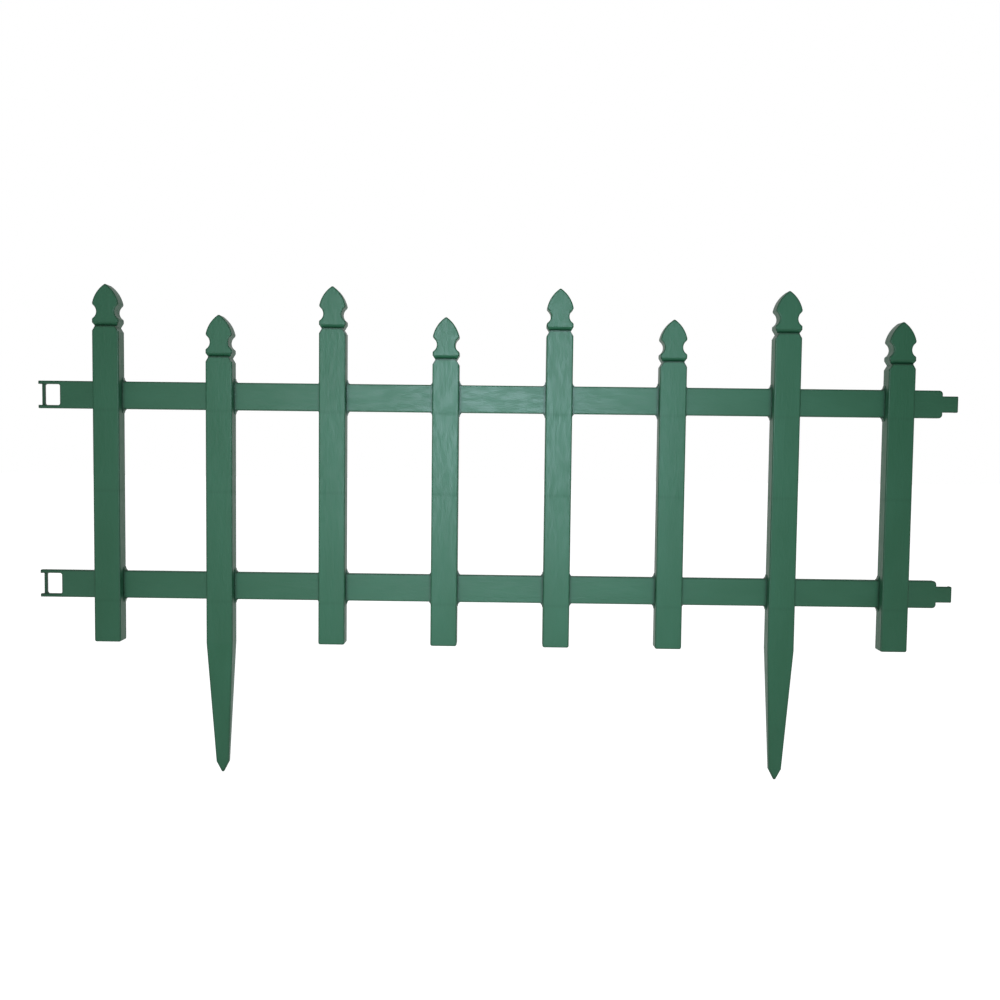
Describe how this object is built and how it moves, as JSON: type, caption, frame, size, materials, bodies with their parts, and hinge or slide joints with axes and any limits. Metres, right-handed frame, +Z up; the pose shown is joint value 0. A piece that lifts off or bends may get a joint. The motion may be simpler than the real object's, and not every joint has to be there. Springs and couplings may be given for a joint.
{
  "type": "plastic lawn edging fence panel",
  "caption": "Moulded plastic lawn-edging picket fence panel with pointed finials, rails, ground stakes, and end loops and hooks that chain one panel to the next.",
  "frame": {"origin": "middle of the first picket's foot, at ground level", "axes": "+X along the fence towards the hooks, +Y to the open back, +Z up"},
  "size_m": [0.6124, 0.01, 0.3271],
  "materials": {
    "green_plastic": "satin moulded polypropylene with a faint wood grain"
  },
  "bodies": {
    "root": {"tall_picket_1": "green_plastic", "short_stake_picket_2": "green_plastic", "tall_picket_3": "green_plastic", "short_picket_4": "green_plastic", "tall_picket_5": "green_plastic", "short_picket_6": "green_plastic", "tall_stake_picket_7": "green_plastic", "short_picket_8": "green_plastic", "lower_rail": "green_plastic", "upper_rail": "green_plastic"}
  },
  "joints": []
}
